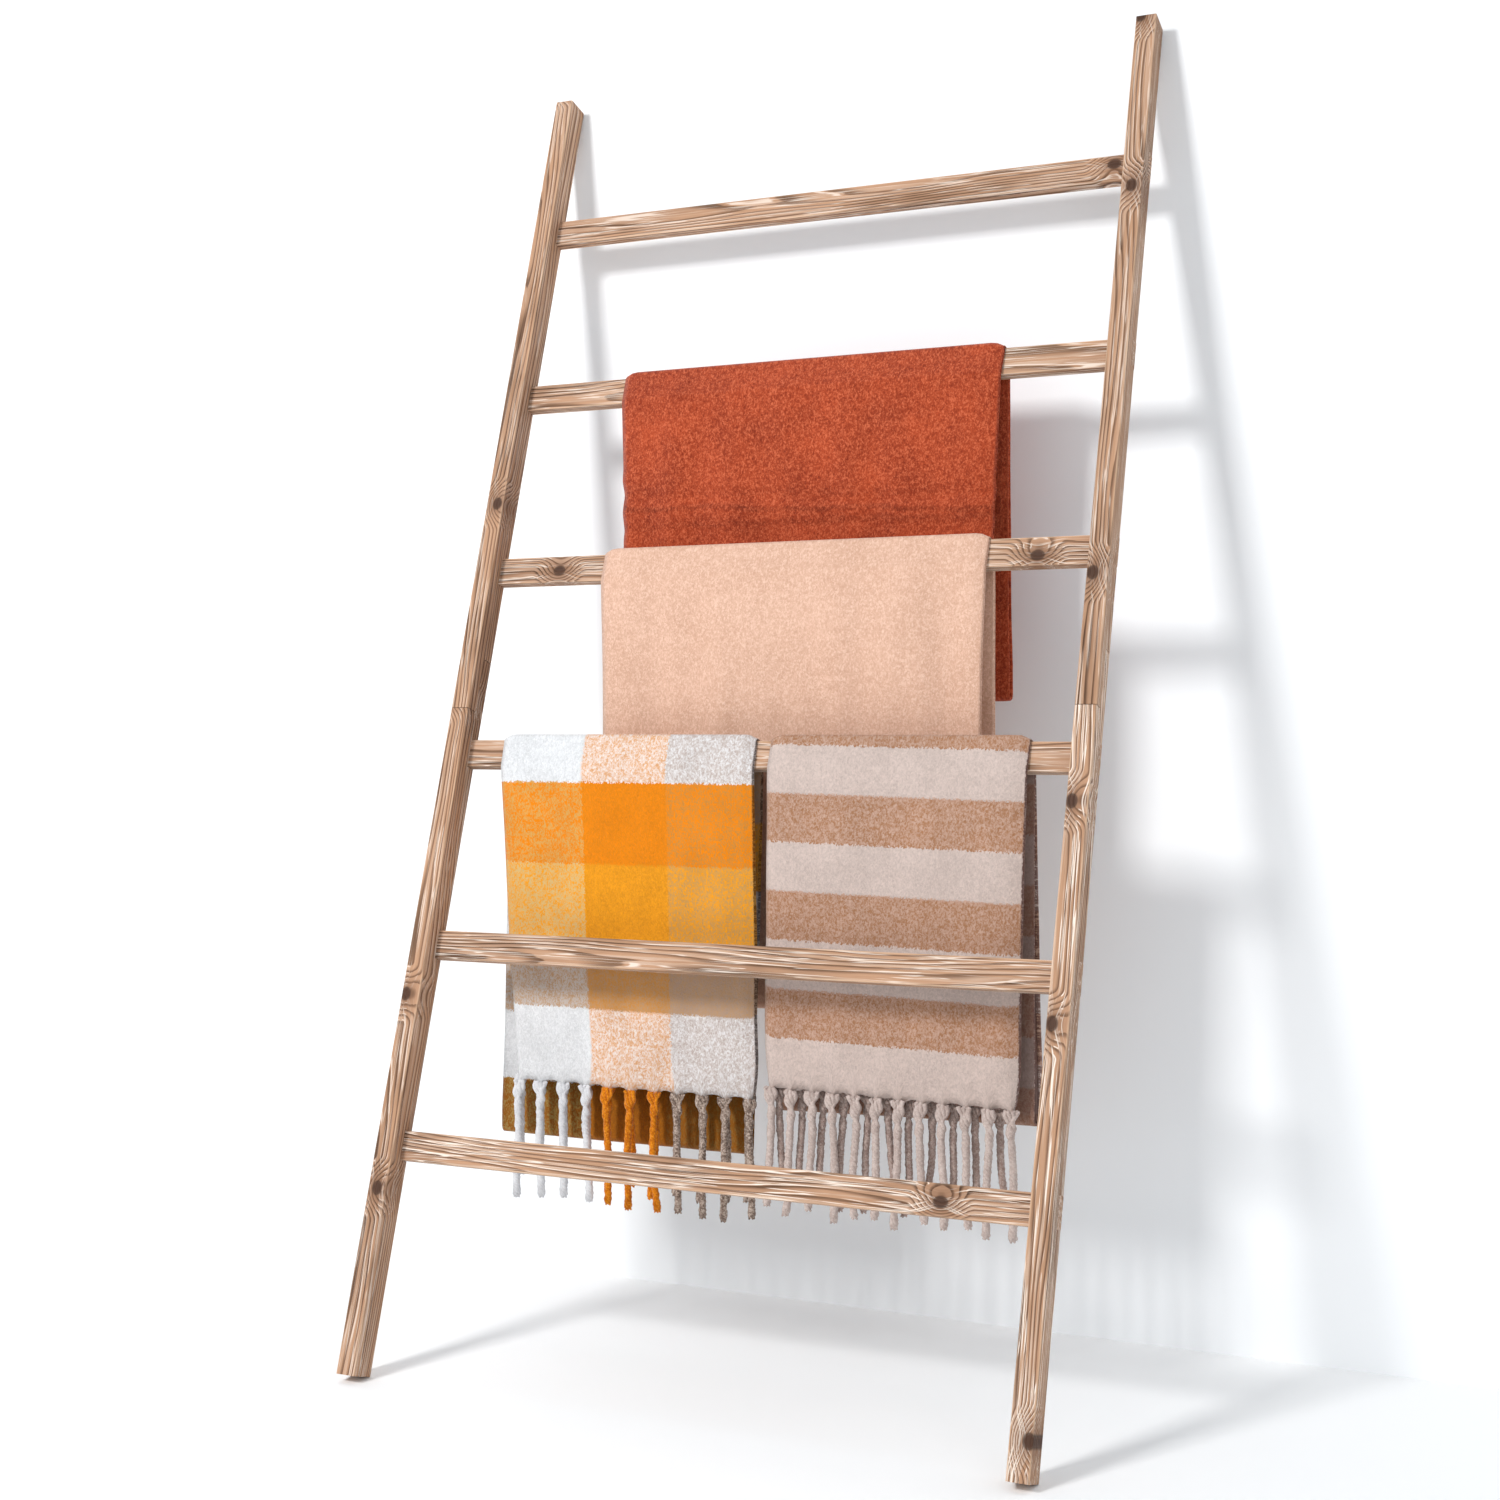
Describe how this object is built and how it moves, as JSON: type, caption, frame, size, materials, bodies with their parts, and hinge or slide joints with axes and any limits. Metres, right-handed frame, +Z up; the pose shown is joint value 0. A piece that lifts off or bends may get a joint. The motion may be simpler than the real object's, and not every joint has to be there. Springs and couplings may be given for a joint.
{
  "type": "blanket ladder with throws",
  "caption": "Rustic wooden blanket ladder leaning on a wall, its rungs let into two-part rails, with plain, checked and striped napped throws folded over the rungs.",
  "frame": {"origin": "on the floor under the middle of the leaning ladder's bounding box", "axes": "+Z up, +Y back towards the wall, +X to the right across the ladder"},
  "size_m": [0.904, 0.5866, 1.7567],
  "materials": {
    "aged_pine": "brushed and lime-washed",
    "steel": "zinc plated",
    "brass": "plain",
    "rust_wool": "napped",
    "peach_wool": "napped",
    "plaid_wool": "napped check",
    "striped_wool": "napped stripe",
    "white_yarn": "twisted",
    "mustard_yarn": "twisted",
    "taupe_yarn": "twisted",
    "cream_yarn": "twisted"
  },
  "bodies": {
    "ladder": {"left_bolt_lower": "steel", "left_bolt_upper": "steel", "left_insert_lower": "brass", "left_insert_upper": "brass", "left_rail_lower": "aged_pine", "left_rail_upper": "aged_pine", "left_screw_1": "steel", "left_screw_2": "steel", "left_screw_3": "steel", "left_screw_4": "steel", "left_screw_5": "steel", "left_screw_6": "steel", "right_bolt_lower": "steel", "right_bolt_upper": "steel", "right_insert_lower": "brass", "right_insert_upper": "brass", "right_rail_lower": "aged_pine", "right_rail_upper": "aged_pine", "right_screw_1": "steel", "right_screw_2": "steel", "right_screw_3": "steel", "right_screw_4": "steel", "right_screw_5": "steel", "right_screw_6": "steel", "rung_1": "aged_pine", "rung_2": "aged_pine", "rung_3": "aged_pine", "rung_4": "aged_pine", "rung_5": "aged_pine", "rung_6": "aged_pine"},
    "rust": {"rust_throw": "rust_wool"},
    "peach": {"peach_throw": "peach_wool"},
    "plaid": {"plaid_tassel_1": "white_yarn", "plaid_tassel_10": "taupe_yarn", "plaid_tassel_11": "taupe_yarn", "plaid_tassel_2": "white_yarn", "plaid_tassel_3": "white_yarn", "plaid_tassel_4": "white_yarn", "plaid_tassel_5": "mustard_yarn", "plaid_tassel_6": "mustard_yarn", "plaid_tassel_7": "mustard_yarn", "plaid_tassel_8": "taupe_yarn", "plaid_tassel_9": "taupe_yarn", "plaid_throw": "plaid_wool"},
    "striped": {"striped_tassel_1": "cream_yarn", "striped_tassel_10": "cream_yarn", "striped_tassel_11": "cream_yarn", "striped_tassel_12": "cream_yarn", "striped_tassel_2": "cream_yarn", "striped_tassel_3": "cream_yarn", "striped_tassel_4": "cream_yarn", "striped_tassel_5": "cream_yarn", "striped_tassel_6": "cream_yarn", "striped_tassel_7": "cream_yarn", "striped_tassel_8": "cream_yarn", "striped_tassel_9": "cream_yarn", "striped_throw": "striped_wool"}
  },
  "joints": [
    {"name": "rust_slide", "type": "slide", "parent": "ladder", "child": "rust", "axis": [1, 0, 0], "range_m": [-0.145, 0.13]},
    {"name": "peach_slide", "type": "slide", "parent": "ladder", "child": "peach", "axis": [1, 0, 0], "range_m": [-0.155, 0.125]},
    {"name": "plaid_slide", "type": "slide", "parent": "ladder", "child": "plaid", "axis": [1, 0, 0], "range_m": [-0.045, 0.01]},
    {"name": "striped_slide", "type": "slide", "parent": "ladder", "child": "striped", "axis": [1, 0, 0], "range_m": [-0.01, 0.045]}
  ]
}
